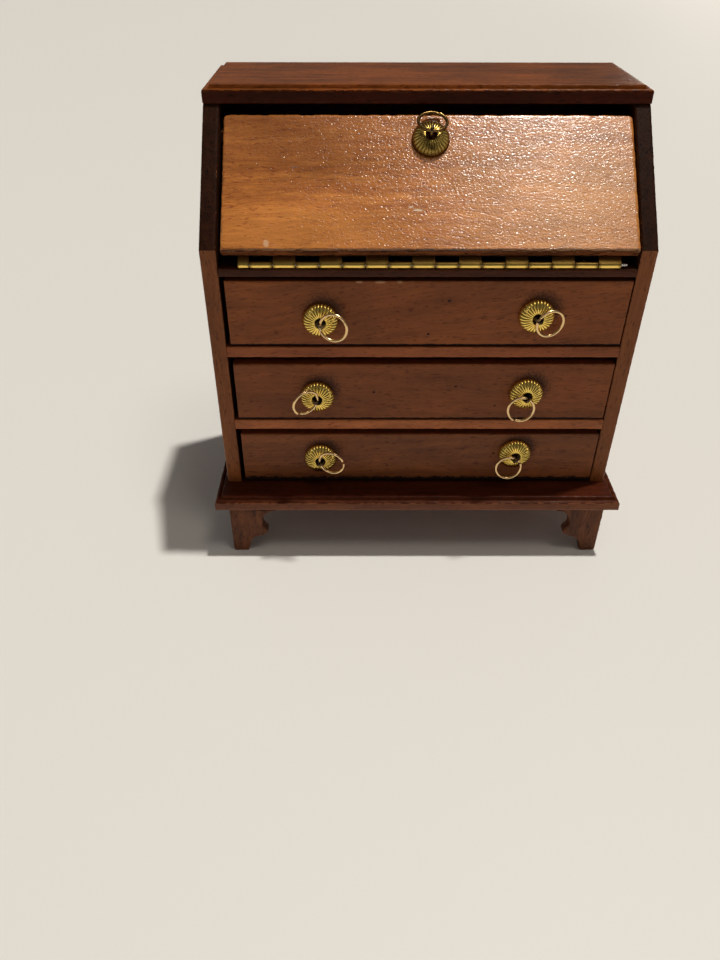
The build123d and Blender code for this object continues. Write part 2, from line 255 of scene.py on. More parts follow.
def woodMaterial(name, look, marks=()):
    material, tree, shader = startMaterial(name)
    place = ownPlace(tree, look.get("turn", (0, 0, 0)), look.get("shift", (0, 0, 0)))
    inputs = {"Place": place, "Light": look["light"], "Dark": look["dark"]}
    for key in ("Streak", "Fibre", "Pores", "Blotch"):
        if key.lower() in look:
            inputs[key] = look[key.lower()]
    grain = addNode(tree, "ShaderNodeGroup", inputs, node_tree=grainGroup)
    inputs = {"Place": place, "Scale": look["peelScale"]}
    peel = addNode(tree, "ShaderNodeGroup", inputs, node_tree=peelGroup)
    worn = addNode(tree, "ShaderNodeAttribute", attribute_name="wear").outputs["Fac"]
    worn = calc(tree, "MULTIPLY", worn, look["edge"], True)
    colour = mixColour(tree, worn, grain.outputs["Color"], look.get("worn", look["light"]))
    rough = span(tree, grain.outputs["Patch"], 0.35, 0.65, look["gloss"][0], look["gloss"][1])
    if "hem" in look:
        direction, start, width, tint = look["hem"]
        band = edgeBand(tree, direction, start, width)
        colour = mixColour(tree, band, colour, tint)
        rough = calc(tree, "ADD", rough, calc(tree, "MULTIPLY", band, hemLook["dull"]), True)
    for centre, size, tint, strength in marks:
        mask = calc(tree, "MULTIPLY", spot(tree, centre, size), strength)
        colour = mixColour(tree, mask, colour, tint)
        if max(size) < spotLook["broad"]:
            rough = calc(tree, "ADD", rough, calc(tree, "MULTIPLY", mask, spotLook["dull"]), True)
    feed(tree, shader, {"Base Color": colour, "Roughness": rough, "Specular IOR Level": look["specular"]})
    inputs = {"Height": grain.outputs["Height"], "Distance": look["relief"] * mm}
    under = addNode(tree, "ShaderNodeBump", inputs)
    inputs = {"Height": peel.outputs["Height"], "Distance": look["peel"] * mm, "Normal": under.outputs[0]}
    feed(tree, shader, {"Normal": addNode(tree, "ShaderNodeBump", inputs).outputs[0]})
    return material


def metalMaterial(name, look):
    material, tree, shader = startMaterial(name)
    hollow = addNode(tree, "ShaderNodeAttribute", attribute_name="hollow").outputs["Fac"]
    hollow = calc(tree, "MULTIPLY", hollow, look.get("hollow", 0.0), True)
    inputs = {"Place": ownPlace(tree), "Hollow": hollow}
    for key in ("Bright", "Dull", "Cover"):
        inputs[key] = look[key.lower()]
    film = addNode(tree, "ShaderNodeGroup", inputs, node_tree=tarnishGroup)
    rough = span(tree, film.outputs["DirtAndShade"], 0.0, 1.0, look["gloss"][0], look["gloss"][1])
    feed(tree, shader, {"Base Color": film.outputs["Color"], "Roughness": rough, "Metallic": 1.0})
    inputs = {"Height": film.outputs["Height"], "Distance": look["dents"] * mm}
    feed(tree, shader, {"Normal": addNode(tree, "ShaderNodeBump", inputs).outputs[0]})
    return material


# pieces
def addObject(name, data):
    made = bpy.data.objects.new(name, data)
    bpy.context.scene.collection.objects.link(made)
    return made


def finishPiece(name, bm, materials, nodes, facePaint=None, smooth=35):
    bmesh.ops.remove_doubles(bm, verts=bm.verts, dist=0.0005)
    bmesh.ops.recalc_face_normals(bm, faces=bm.faces)
    if facePaint:
        for face in bm.faces:
            for index, test in facePaint:
                if test(face.normal, face.calc_center_median()):
                    face.material_index = index
    for face in bm.faces:
        face.smooth = True
    bmesh.ops.scale(bm, vec=(mm, mm, mm), verts=bm.verts)
    data = bpy.data.meshes.new(name)
    bm.to_mesh(data)
    bm.free()
    data.set_sharp_from_angle(angle=math.radians(smooth))
    for material in materials:
        data.materials.append(material)
    piece = addObject(name, data)
    weighted = piece.modifiers.new("evenShading", "WEIGHTED_NORMAL")
    weighted.keep_sharp = True
    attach(piece, bodyOf[nodes[0]])
    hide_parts(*nodes)
    return piece


def setIn(corners, shares, inset):
    # moves every side of an outline in by its share of inset and meets the sides again
    moved = []
    for index, corner in enumerate(corners):
        before, after = corner - corners[index - 1], corners[(index + 1) % len(corners)] - corner
        n, m = Vector((-before.y, before.x)).normalized(), Vector((-after.y, after.x)).normalized()
        a, b = shares[index - 1] * inset, shares[index] * inset
        turn = n.x * m.y - n.y * m.x
        if abs(turn) < 0.02:
            moved.append(corner + n * a)
        else:
            moved.append(corner + Vector(((a * m.y - b * n.y) / turn, (b * n.x - a * m.x) / turn)))
    return moved


def easedProfile(low, high, easing, margin=0.35, segments=3):
    # (inset, height, wear, wear inwards, wear towards the middle) from the lower face round to the upper
    half = [(easing + margin, 0.0, 0.0, 0, 0), (easing, 0.0, 0.35, 1, 0.3)]
    for step in range(1, segments + 1):
        angle = math.radians(90 * step / segments)
        inset, height = easing * (1 - math.sin(angle)), easing * (1 - math.cos(angle))
        half.append((inset, height, 1.0 if step < segments else 0.35, 1, 1))
    half.append((0.0, easing + margin, 0.0, 0, 0))
    lower, upper = [], []
    for inset, height, weight, side, level in half:
        lower.append((inset, low + height, weight, side, level))
        upper.insert(0, (inset, high - height, weight, side, -level))
    if high - low < 2 * (easing + margin):
        lower, upper = lower[:-1], upper[1:]
    return lower + upper


def wearAt(point, wear):
    depth = wear["depth"] * max(0.0, noise.fractal(point * wear["pitch"], 1.0, 2.0, 3) + wear["bias"])
    for centre, radius, deep in wear.get("chips", ()):
        gap = (point - centre).length / radius
        if gap < 1:
            depth = max(depth, deep * (1 - gap * gap) * (0.8 + 0.6 * noise.noise(point * 3.1)))
    return depth


def wrapPlate(corners, shares, counts, profile, lay, wear):
    # a plate from its outline and the profile of its edge; lay puts (u, v, height) in place
    bm = bmesh.new()
    worn = bm.verts.layers.float.new("wear")
    rings = []
    for inset, height, weight, side, level in profile:
        moved = setIn(corners, shares, inset)
        ring = []
        for index, corner in enumerate(moved):
            after = moved[(index + 1) % len(moved)]
            along = (after - corner).normalized() if (after - corner).length > 1e-6 else Vector((1, 0))
            inwards = Vector((-along.y, along.x))
            for step in range(counts[index]):
                flat = corner.lerp(after, step / counts[index])
                depth = weight and weight * wearAt(lay(flat.x, flat.y, height), wear)
                share = shares[index] if step else min(shares[index], shares[index - 1])
                flat = flat + inwards * (depth * side * (1 if share else 0))
                vertex = bm.verts.new(lay(flat.x, flat.y, height + depth * level))
                vertex[worn] = min(1.0, depth / 0.2)
                ring.append(vertex)
        rings.append(ring)
    count = len(rings[0])
    flatSides = [sum(counts[:index]) for index, share in enumerate(shares) if not share]
    for lower, upper in zip(rings, rings[1:]):
        for index in range(count):
            after = (index + 1) % count
            if index not in flatSides:
                bm.faces.new((lower[index], lower[after], upper[after], upper[index]))
    for index in flatSides:  # a side without a share of the profile is one flat face
        after = (index + 1) % count
        bm.faces.new([ring[index] for ring in rings] + [ring[after] for ring in reversed(rings)])
    bm.faces.new(rings[0])
    bm.faces.new(list(reversed(rings[-1])))
    return bm


def rectangle(u, v):
    return [Vector((u[0], v[0])), Vector((u[1], v[0])), Vector((u[1], v[1])), Vector((u[0], v[1]))]


def rounded(corners, radii, segments=5):
    # an outline with some of its corners rounded
    points = []
    for index, corner in enumerate(corners):
        radius = radii[index]
        if not radius:
            points.append(corner)
            continue
        back = (corners[index - 1] - corner).normalized()
        ahead = (corners[(index + 1) % len(corners)] - corner).normalized()
        for step in range(segments + 1):
            part = step / segments
            points.append(corner + back * radius * (1 - part) ** 2 + ahead * radius * part ** 2)
    return points


def sideCounts(corners, step):
    ahead = corners[1:] + corners[:1]
    return [max(1, round((after - corner).length / step)) for corner, after in zip(corners, ahead)]


axesOf = {"x": (inward, upright, across), "y": (upright, across, inward), "z": (across, inward, upright)}


def boardLay(axis):
    u, v, w = axesOf[axis]
    return lambda a, b, c: u * a + v * b + w * c


def board(node, axis, materials, look, facePaint=None):
    # a sawn board from its CAD box, thin along axis
    low, high = boxOf(node)
    u, v, w = axesOf[axis]
    corners = rectangle((low.dot(u), high.dot(u)), (low.dot(v), high.dot(v)))
    corners = rounded(corners, [look.get("corner", 0.0)] * 4, 2)
    profile = easedProfile(low.dot(w), high.dot(w), look["easing"])
    counts = sideCounts(corners, look["step"])
    bm = wrapPlate(corners, [1] * len(corners), counts, profile, boardLay(axis), look["wear"])
    return finishPiece(f"{node}_made", bm, materials, [node], facePaint)


print("stage: groups ready")

# wood finishes
caseLook = {
    "light": tone(172, 96, 54), "dark": tone(143, 75, 40), "worn": tone(188, 120, 72),
    "streak": 0.9, "fibre": 0.6, "pores": 0.5, "blotch": 1.0, "relief": 0.02, "edge": 0.5,
    "gloss": (0.28, 0.36), "specular": 0.18, "peel": 0.03, "peelScale": 1.5,
}
caseWood = woodMaterial("caseWood", {**caseLook, "light": tone(162, 90, 50), "dark": tone(134, 70, 37)})
sideWood = woodMaterial("sideWood", {
    **caseLook, "light": tone(138, 80, 40), "dark": tone(112, 61, 29),
    "turn": (0, 90, 0), "shift": (7, 3, 11),
})
railWood = woodMaterial("railWood", {
    **caseLook, "light": tone(184, 108, 62), "dark": tone(150, 84, 46), "shift": (9, 2, 5),
})
darkStain = {**caseLook, "worn": tone(140, 90, 56), "specular": 0.12}
slantStain = woodMaterial("slantStain", {
    **darkStain, "light": tone(54, 27, 13), "dark": tone(34, 16, 8), "worn": tone(88, 58, 40),
    "turn": (0, 0, 90), "pores": 0.8, "blotch": 0.8,
    "gloss": (0.42, 0.52), "specular": 0.04, "peelScale": 2.0,
})
railStain = woodMaterial("railStain", {**darkStain, "light": tone(80, 40, 22), "dark": tone(58, 28, 15)})
topWood = woodMaterial("topWood", {
    **darkStain, "light": tone(134, 72, 28), "dark": tone(102, 51, 18), "shift": (0, 5, 2),
    "blotch": 2.0, "gloss": (0.24, 0.27), "specular": 0.05,
})
fasciaStain = woodMaterial("fasciaStain", {
    **darkStain, "light": tone(72, 28, 11), "dark": tone(50, 19, 8), "specular": 0.06,
})
plinthWood = woodMaterial("plinthWood", {
    **darkStain, "light": tone(84, 37, 20), "dark": tone(58, 24, 12), "shift": (4, 9, 8), "specular": 0.06,
})
plinthFascia = woodMaterial("plinthFascia", {
    **caseLook, "light": tone(128, 74, 44), "dark": tone(100, 54, 32), "shift": (4, 9, 8),
})
footWood = woodMaterial("footWood", {
    **caseLook, "light": tone(122, 70, 38), "dark": tone(76, 39, 21), "worn": tone(150, 96, 60),
    "turn": (0, 90, 0), "blotch": 1.9, "fibre": 1.3, "pores": 0.6, "relief": 0.12, "gloss": (0.42, 0.56),
})
insideLook = {
    "light": tone(188, 136, 88), "dark": tone(144, 94, 54),
    "streak": 0.8, "fibre": 0.6, "pores": 0.5, "blotch": 0.5, "relief": 0.03, "edge": 0.4,
    "gloss": (0.5, 0.65), "specular": 0.5, "peel": 0.008, "peelScale": 2.5,
}
insideWood = woodMaterial("insideWood", insideLook)
insideLengths = woodMaterial("insideLengths", {**insideLook, "turn": (0, 0, 90), "shift": (5, 8, 1)})
deskLook = {**caseLook, "light": tone(120, 68, 38), "dark": tone(76, 40, 20), "gloss": (0.4, 0.5)}
deskWood = woodMaterial("deskWood", deskLook)
deskUprights = woodMaterial("deskUprights", {**deskLook, "turn": (0, 90, 0)})
darkInside = woodMaterial("darkInside", {
    **darkStain, "light": tone(70, 38, 20), "dark": tone(44, 22, 12),
    "turn": (0, 90, 0), "gloss": (0.45, 0.55),
})

# metal finishes
capBrass = metalMaterial("capBrass", {
    "bright": tone(255, 222, 118), "dull": tone(112, 66, 20), "cover": 0.26,
    "hollow": 1.0, "gloss": (0.13, 0.34), "dents": 0.012,
})
# a darker copy of capBrass for the lid's pull: older tarnish, and painted shade for the dark lower half of its
# dome
shadedOldCapBrass = metalMaterial("shadedOldCapBrass", {
    "bright": tone(214, 182, 98), "dull": tone(62, 40, 18), "cover": 0.5,
    "hollow": 1.0, "gloss": (0.2, 0.42), "dents": 0.015,
})
eyeBrass = metalMaterial("eyeBrass", {
    "bright": tone(150, 126, 92), "dull": tone(40, 26, 16), "cover": 0.6,
    "gloss": (0.26, 0.46), "dents": 0.02,
})
ringBrass = metalMaterial("ringBrass", {
    "bright": tone(236, 200, 146), "dull": tone(150, 110, 66), "cover": 0.3,
    "gloss": (0.24, 0.4), "dents": 0.015,
})
oldRingBrass = metalMaterial("oldRingBrass", {
    "bright": tone(136, 108, 62), "dull": tone(66, 46, 26), "cover": 0.5,
    "gloss": (0.2, 0.4), "dents": 0.02,
})
hingeBrass = metalMaterial("hingeBrass", {
    "bright": tone(250, 212, 112), "dull": tone(84, 54, 24), "cover": 0.22,
    "hollow": 1.0, "gloss": (0.18, 0.42), "dents": 0.015,
})
pinSteel = metalMaterial("pinSteel", {
    "bright": tone(190, 188, 184), "dull": tone(96, 92, 86), "cover": 0.36,
    "gloss": (0.25, 0.45), "dents": 0.01,
})
print("stage: finishes ready")

# the case
front = boxOf("side_left")[0].y
sideLook = {"easing": 0.22, "step": 0.45, "wear": {"depth": 0.10, "pitch": 0.9, "bias": 0.1}}


def sidePanel(node):
    low, high = boxOf(node)
    places = [vertex.co / mm for vertex in frame["nodes"][node].data.vertices]
    slantFoot = max(place.z for place in places if place.y < front + 0.01)
    slantHead = min(place.y for place in places if place.z > high.z - 0.01)
    corners = [Vector((low.y, low.z)), Vector((high.y, low.z)), Vector((high.y, high.z)),
               Vector((slantHead, high.z)), Vector((low.y, slantFoot))]
    counts = sideCounts(corners, sideLook["step"])
    profile = easedProfile(low.x, high.x, sideLook["easing"])
    bm = wrapPlate(corners, [1] * 5, counts, profile, boardLay("x"), sideLook["wear"])
    painted = [(1, lambda normal, centre: normal.y < -0.3 and normal.z > 0.3),
               # the inner faces are painted dark: a dark stain, and painted shade for the strip seen between the
               # lid and the side
               (2, lambda normal, centre: normal.x * centre.x < -0.9 * abs(centre.x))]
    return finishPiece(f"{node}_made", bm, [sideWood, slantStain, darkInside], [node], painted)


sidePanel("side_left")
sidePanel("side_right")

railLook = {"easing": 0.18, "step": 0.5, "wear": {"depth": 0.09, "pitch": 0.8, "bias": 0.15}}
board("divider_lower", "z", [railWood], railLook)
board("divider_upper", "z", [caseWood], railLook)
board("writing_board", "z", [railStain], railLook)

plainLook = {"easing": 0.12, "step": 2.5, "wear": {"depth": 0.05, "pitch": 0.7, "bias": 0.1}}
board("back_panel", "y", [deskWood], plainLook)
board("pigeonhole_shelf", "z", [deskWood], plainLook)
for index in (1, 2, 3):
    board(f"pigeonhole_divider_{index}", "x", [deskUprights], plainLook)
for side in ("left", "right"):
    board(f"lid_stop_{side}", "z", [deskWood], plainLook)

# moulded boards: a plain fascia, a small bead, a thin quirk and a raised field, cut off flat behind
mouldLook = {
    "step": 0.45, "bead": 0.48, "field": 1.25, "rise": 0.5, "quirk": 0.16, "easing": 0.12, "margin": 0.4,
    "wear": {"depth": 0.10, "pitch": 0.9, "bias": 0.12},
}


def mouldedProfile(low, high):
    shoulder = high - mouldLook["rise"]
    bead, field, easing = mouldLook["bead"], mouldLook["field"], mouldLook["easing"]
    margin = mouldLook["margin"]
    profile = [(easing + margin, low, 0, 0, 0), (easing, low, 0.3, 1, 0), (0.0, low + easing, 0.6, 1, 1),
               (0.0, low + easing + margin, 0, 0, 0), (0.0, shoulder - bead - 0.2, 0, 0, 0)]
    for angle in range(180, -1, -20):
        lean = math.radians(angle)
        inset, height = bead * (1 + math.cos(lean)), shoulder - bead * (1 - math.sin(lean))
        profile.append((inset, height, 0.8 if angle > 40 else 0.2, 1 if angle > 90 else 0, -1))
    profile += [(bead * 2 + 0.05, shoulder - bead - mouldLook["quirk"] + 0.2, 0, 0, 0),
                (field - 0.06, shoulder - 0.22, 0, 0, 0),
                (field, high - easing, 0.3, 1, 0),
                (field + easing * 0.4, high - easing * 0.3, 0.8, 1, -1),
                (field + easing, high, 0.3, 1, 0),
                (field + easing + margin, high, 0, 0, 0)]
    return profile


def mouldedBoard(node, materials):
    low, high = boxOf(node)
    corners = rectangle((low.x, high.x), (low.y, high.y))
    profile = mouldedProfile(low.z, high.z)
    counts = sideCounts(corners, mouldLook["step"])
    counts[2] = 1
    bm = wrapPlate(corners, [1, 1, 0, 1], counts, profile, boardLay("z"), mouldLook["wear"])
    edge = [(1, lambda normal, centre: centre.z < high.z - mouldLook["rise"] - 0.25)]
    return finishPiece(f"{node}_made", bm, materials, [node], edge, 50)


mouldedBoard("top_board", [topWood, fasciaStain])
mouldedBoard("plinth_board", [plinthWood, plinthFascia])
print("stage: case boards")

# bracket feet
footLook = {
    "easing": 0.22, "thickness": 2.4, "step": 0.35, "wear": {"depth": 0.34, "pitch": 0.9, "bias": 0.15},
    "base": 3.2, "lip": 0.8,
    "curves": [  # segments and three points of each arc; the last arc ends at the tip of the bracket
        (4, (3.5, 1.2), (4.1, 2.9), (4.9, 3.6)), (4, (6.9, 4.4), (7.7, 5.1), (7.4, 6.0)),
        (5, (7.4, 6.0), (6.7, 7.1), (6.9, 8.3)), (6, (6.9, 8.3), (7.7, 10.1)),
    ],
}


def arcThrough(segments, a, b, c):
    # points along the arc through three points
    a, b, c = (Vector(p) for p in (a, b, c))
    d = 2 * (a.x * (b.y - c.y) + b.x * (c.y - a.y) + c.x * (a.y - b.y))
    aa, bb, cc = (p.length_squared for p in (a, b, c))
    x = (aa * (b.y - c.y) + bb * (c.y - a.y) + cc * (a.y - b.y)) / d
    y = (aa * (c.x - b.x) + bb * (a.x - c.x) + cc * (b.x - a.x)) / d
    centre = Vector((x, y))
    start, middle, end = (math.atan2(p.y - y, p.x - x) for p in (a, b, c))
    turn = (end - start) % (2 * math.pi)
    if (middle - start) % (2 * math.pi) > turn:
        turn -= 2 * math.pi
    radius = (a - centre).length
    angles = [start + turn * step / segments for step in range(segments + 1)]
    return [centre + Vector((math.cos(angle), math.sin(angle))) * radius for angle in angles]


def bracketOutline(length, height):
    # (distance from the corner, height), counter-clockwise from the outer foot
    tip = (length, height - footLook["lip"])
    points = [Vector((0, 0)), Vector((footLook["base"], 0))]
    for arc in footLook["curves"]:
        line = arcThrough(*(arc if len(arc) == 4 else arc + (tip,)))
        if (points[-1] - line[0]).length < 0.001:
            points.pop()
        points += line
    return points + [Vector((length, height)), Vector((0, height))]


def foot(node, run, face):
    low, high = boxOf(node)
    if abs(run.x) > 0.5:
        corner = Vector((low.x if run.x > 0 else high.x, low.y if face.y < 0 else high.y, 0))
        length = high.x - low.x
    else:
        corner = Vector((low.x if face.x < 0 else high.x, low.y if run.y > 0 else high.y, 0))
        length = high.y - low.y
    thick = footLook["thickness"]
    outline = bracketOutline(length, high.z)
    counts = sideCounts(outline, footLook["step"])
    profile = easedProfile(0.0, thick, footLook["easing"], 0.3, 2)
    flip = run.cross(upright).dot(face) > 0

    def lay(u, v, w):
        return corner + run * u + upright * v - face * (thick - w if flip else w)

    bm = wrapPlate(outline, [1] * len(outline), counts, profile, lay, footLook["wear"])
    normal = (run + face).normalized()
    if "back" not in node:  # mitred to its neighbour at the corner
        whole = bm.verts[:] + bm.edges[:] + bm.faces[:]
        cut = bmesh.ops.bisect_plane(bm, geom=whole, plane_co=corner, plane_no=-normal, clear_outer=True)
        edges = [e for e in cut["geom_cut"] if isinstance(e, bmesh.types.BMEdge)]
        bmesh.ops.holes_fill(bm, edges=edges)
    return finishPiece(f"{node}_made", bm, [footWood], [node], None, 40)


for side, sign in (("left", -1), ("right", 1)):
    foot(f"foot_front_{side}", across * -sign, -inward)
    foot(f"foot_side_front_{side}", inward.copy(), across * sign)
    foot(f"foot_side_back_{side}", -inward, across * sign)
print("stage: feet")

# the lid
lidTops = [face for face in frame["nodes"]["lid"].data.polygons if face.normal.z > 0.3]
lidOut = max(lidTops, key=lambda face: face.area).normal.copy()
lidUp = across.cross(lidOut) * -1
if lidUp.z < 0:
    lidUp.negate()
lidLook = {
    "easing": 0.32, "corner": 1.0, "lowCorner": 0.35, "step": 0.35, "chips": 15, "chipSize": 0.8,
    "wear": {"depth": 0.14, "pitch": 0.75, "bias": 0.15},
}


def lidPlace(x, up, out):
    return across * x + lidUp * up + lidOut * out


lidX, lidRise, lidFace = reach("lid", across), reach("lid", lidUp), reach("lid", lidOut)
lidMarks = [  # (across, up from the lower edge), size, tint and strength
    ((9.0, lidRise[1] - lidRise[0] - 4.0), (24, 11, 11), tone(110, 58, 24), 0.6),
    ((15.0, 3.5), (20, 6, 6), tone(228, 150, 74), 0.4),
    # painted sheen: a lighter golden patch on the right of the lid, where the lamps' reflection falls
    ((lidX[1] - lidX[0] - 9.0, 9.0), (24, 13, 13), tone(240, 168, 84), 0.4),
    ((8.0, 1.5), (0.55, 0.75, 0.75), tone(214, 164, 118), 0.8),
    ((12.8, 15.8), (0.7, 0.3, 0.3), tone(96, 50, 22), 0.5),
    ((33.3, 8.3), (0.4, 0.2, 0.2), tone(226, 196, 160), 0.9),
    ((34.5, 7.7), (0.9, 0.2, 0.2), tone(226, 196, 160), 0.9),
]
lidWood = woodMaterial("lidWood", {
    "light": tone(208, 131, 58), "dark": tone(162, 90, 38), "worn": tone(206, 156, 110), "shift": (3, 1, 4),
    "streak": 1.0, "fibre": 1.1, "pores": 0.6, "blotch": 1.2, "relief": 0.014, "edge": 0.5,
    "gloss": (0.15, 0.20), "specular": 0.62, "peel": 0.052, "peelScale": 2.9,
    "hem": (lidUp, lidRise[0], 0.5, tone(54, 26, 13)),
}, [(lidPlace(lidX[0] + u, lidRise[0] + v, lidFace[1]), *mark) for (u, v), *mark in lidMarks])
lidHem = woodMaterial("lidHem", {
    **darkStain, "light": tone(132, 74, 38), "dark": tone(54, 27, 14), "worn": tone(120, 70, 40),
    "pores": 1.0, "edge": 0.8, "gloss": (0.6, 0.75), "specular": 0.06,
})
random.seed(11)
lidLook["wear"]["chips"] = []
for chip in range(lidLook["chips"]):
    place = lidPlace(random.uniform(*lidX), lidRise[0], lidFace[1] - random.uniform(0.0, 0.3))
    size = lidLook["chipSize"] * random.uniform(0.5, 1.0)
    lidLook["wear"]["chips"].append((place, size, size * 0.5))


def lidPanel():
    corners = rectangle(lidX, lidRise)
    corners = rounded(corners, [lidLook["lowCorner"]] * 2 + [lidLook["corner"]] * 2, 4)
    counts = sideCounts(corners, lidLook["step"])
    profile = easedProfile(lidFace[0], lidFace[1], lidLook["easing"])
    bm = wrapPlate(corners, [1] * len(corners), counts, profile, lidPlace, lidLook["wear"])
    lowerEdge = [(1, lambda normal, centre: normal.dot(lidUp) < -0.6)]
    return finishPiece("lid_made", bm, [lidWood, lidHem], ["lid"], lowerEdge)


lidPanel()
print("stage: lid")

# drawers
frontLook = {"easing": 0.16, "step": 0.45, "wear": {"depth": 0.09, "pitch": 0.85, "bias": 0.15}}
boxLook = {"easing": 0.12, "step": 2.0, "wear": {"depth": 0.04, "pitch": 0.7, "bias": 0.1}}
# pits and scuffs are marks on the wood; the hem tint is painted shade, a dark ragged band along the bottom of each
# drawer front, widest on the lowest drawer above the plinth
drawerMarksAndShade = {"pit": tone(38, 20, 12), "scuff": tone(196, 146, 106), "hem": tone(34, 16, 9)}
# painted shadow: a soft dark patch on each drawer front, above and right of each cap, where the cap shades the
# light from the floor
capShadowLook = {"tone": tone(34, 15, 8), "offset": (0.7, 1.3), "size": (3.9, 1.0, 3.6), "strength": 0.75}
drawerLooks = {
    "upper": {
        "light": tone(144, 80, 38), "dark": tone(116, 61, 28), "turn": (0, 7, 0), "shift": (0, 0, 2),
        "hemWidth": 0.3, "pits": [(40.5, 8.9, 0.28), (37.0, 2.3, 0.24), (62.0, 6.0, 0.2)],
        "scuffs": [(24.2, 0.7), (28.0, 1.1), (31.4, 0.5)],
    },
    "middle": {
        "light": tone(136, 75, 38), "dark": tone(114, 61, 29), "turn": (0, -1, 0), "shift": (30, 0, 6),
        "hemWidth": 0.35, "pits": [(27.0, 6.2, 0.26), (43.0, 7.5, 0.24), (51.0, 3.1, 0.2)], "scuffs": [],
    },
    "lower": {
        "light": tone(136, 78, 42), "dark": tone(108, 59, 31), "turn": (0, 2, 0), "shift": (11, 0, 3),
        "hemWidth": 1.1, "pits": [(30.0, 4.0, 0.2), (52.0, 7.2, 0.22)], "scuffs": [],
    },
}
for name, look in drawerLooks.items():
    low, high = boxOf(f"drawer_{name}_front")
    marks = []
    for u, v, size in look["pits"]:
        place = Vector((low.x + u, low.y, low.z + v))
        marks.append((place, (size * 1.3, 0.5, size), drawerMarksAndShade["pit"], 1.0))
    for side in ("left", "right"):
        hinge = Vector(jointOf[f"ring_{name}_{side}_swing"]["pos_m"]) / mm
        # the painted shadow above this cap
        capShadow = Vector((hinge.x + capShadowLook["offset"][0], low.y, hinge.z + capShadowLook["offset"][1]))
        marks.append((capShadow, capShadowLook["size"], capShadowLook["tone"], capShadowLook["strength"]))
    for u, length in look["scuffs"]:
        place = Vector((low.x + u, low.y, high.z - 0.15))
        marks.append((place, (length, 0.5, 0.22), drawerMarksAndShade["scuff"], 0.8))
    # the hem is painted shade along the bottom edge of the front
    wood = {**caseLook, **look, "hem": (upright, low.z, look["hemWidth"], drawerMarksAndShade["hem"])}
    finish = woodMaterial(f"drawer{name.title()}Wood", wood, marks)
    board(f"drawer_{name}_front", "y", [finish], frontLook)
    board(f"drawer_{name}_side_left", "x", [insideLengths], boxLook)
    board(f"drawer_{name}_side_right", "x", [insideLengths], boxLook)
    board(f"drawer_{name}_back", "y", [insideWood], boxLook)
    board(f"drawer_{name}_base", "z", [insideWood], boxLook)
print("stage: drawers")


# pulls
def wire(points, radius, sides=10, closed=False, flat=1.0, flatSide=None):
    # a round or flattened wire along a line of points
    bm = bmesh.new()
    count = len(points)
    side = None
    rings = []
    for index, point in enumerate(points):
        before = points[index - 1] if index or closed else point
        after = points[(index + 1) % count] if index < count - 1 or closed else point
        along = (after - before).normalized()
        if side is None:
            side = along.orthogonal().normalized() if flatSide is None else flatSide.copy()
        side = (side - along * side.dot(along)).normalized()
        other = along.cross(side)
        size = radius(index / (count - 1)) if callable(radius) else radius
        ring = []
        for step in range(sides):
            angle = 2 * math.pi * step / sides
            spoke = side * math.cos(angle) + other * math.sin(angle) * flat
            ring.append(bm.verts.new(point + spoke * size))
        rings.append(ring)
    pairs = list(zip(rings, rings[1:])) + ([(rings[-1], rings[0])] if closed else [])
    for lower, upper in pairs:
        for step in range(sides):
            after = (step + 1) % sides
            bm.faces.new((lower[step], lower[after], upper[after], upper[step]))
    if not closed:
        bm.faces.new(list(reversed(rings[0])))
        bm.faces.new(rings[-1])
    return bm


def joinMeshes(parts):
    # several bmeshes as one
    whole = bmesh.new()
    whole.verts.layers.float.new("hollow")
    for part in parts:
        keep = bpy.data.meshes.new("join")
        part.to_mesh(keep)
        part.free()
        whole.from_mesh(keep)
        bpy.data.meshes.remove(keep)
    return whole


capLook = {
    "flutes": 28, "perFlute": 10, "depth": 0.19, "height": 1.75, "radius": 3.4, "hole": 0.96, "wall": 0.25,
    "rim": 0.1, "round": 2.3, "lip": 0.14, "throat": 0.7, "rimWave": 0.06, "rings": 16,
    # each pair gives the dull share in the flutes (tarnish) and at the rim (tarnish and painted shade)
    "dirtAndShade": (0.75, 0.3), "lidDirtAndShade": (0.45, 0.95),  # in the flutes and at the rim
}
eyeLook = {
    "radius": 0.7, "wire": 0.27, "flat": 0.8, "mouth": 22, "lean": 0.064,
    "legs": 1.7, "legStep": 0.34, "legRise": 0.04, "knee": 0.2, "kneeRise": 0.28, "stem": 0.19,
}
ringLook = {"radius": 2.55, "wire": 0.28, "steps": 96, "sprung": 0.25, "unevenness": 0.05}
swingEnd = {"lid": 202.0, "drawer": 195.0}  # the furthest that a ring swings off the face, in degrees


def pullFrame(name):
    # the pull's hinge point, its axes out, along and sideways, and how far the hinge stands off the wood
    joint = jointOf[f"ring_{name}_swing"]
    hinge = Vector(joint["pos_m"]) / mm
    sideways = -Vector(joint["axis"]).normalized()
    if name == "lid":
        out, reached = lidOut.copy(), hinge.dot(lidOut) - lidFace[1]
    else:
        out, reached = -inward, front - hinge.y
    return hinge, out, sideways.cross(out).normalized(), sideways, reached


def capProfile():
    # (radius, height, share of the flutes, dull share inside the hole) from inside the hole over the dome to the
    # rim
    hole, height, lip = capLook["hole"], capLook["height"], capLook["lip"]
    profile = [(hole, height - capLook["throat"], 0.0, 1.0), (hole, height - lip, 0.0, 1.0),
               (hole + lip * 0.3, height - lip * 0.3, 0.0, 0.8), (hole + lip, height, 0.15, 0.2)]
    for ring in range(1, capLook["rings"] + 1):
        part = math.sin(ring / capLook["rings"] * math.pi / 2)
        radius = hole + lip + (capLook["radius"] - hole - lip) * part
        rise = math.sqrt(max(0.0, 1 - part ** capLook["round"]))
        rise = capLook["rim"] + (height - capLook["rim"]) * rise
        profile.append((radius, rise, min(1.0, 0.15 + part * 2.2), 0.0))
    return profile


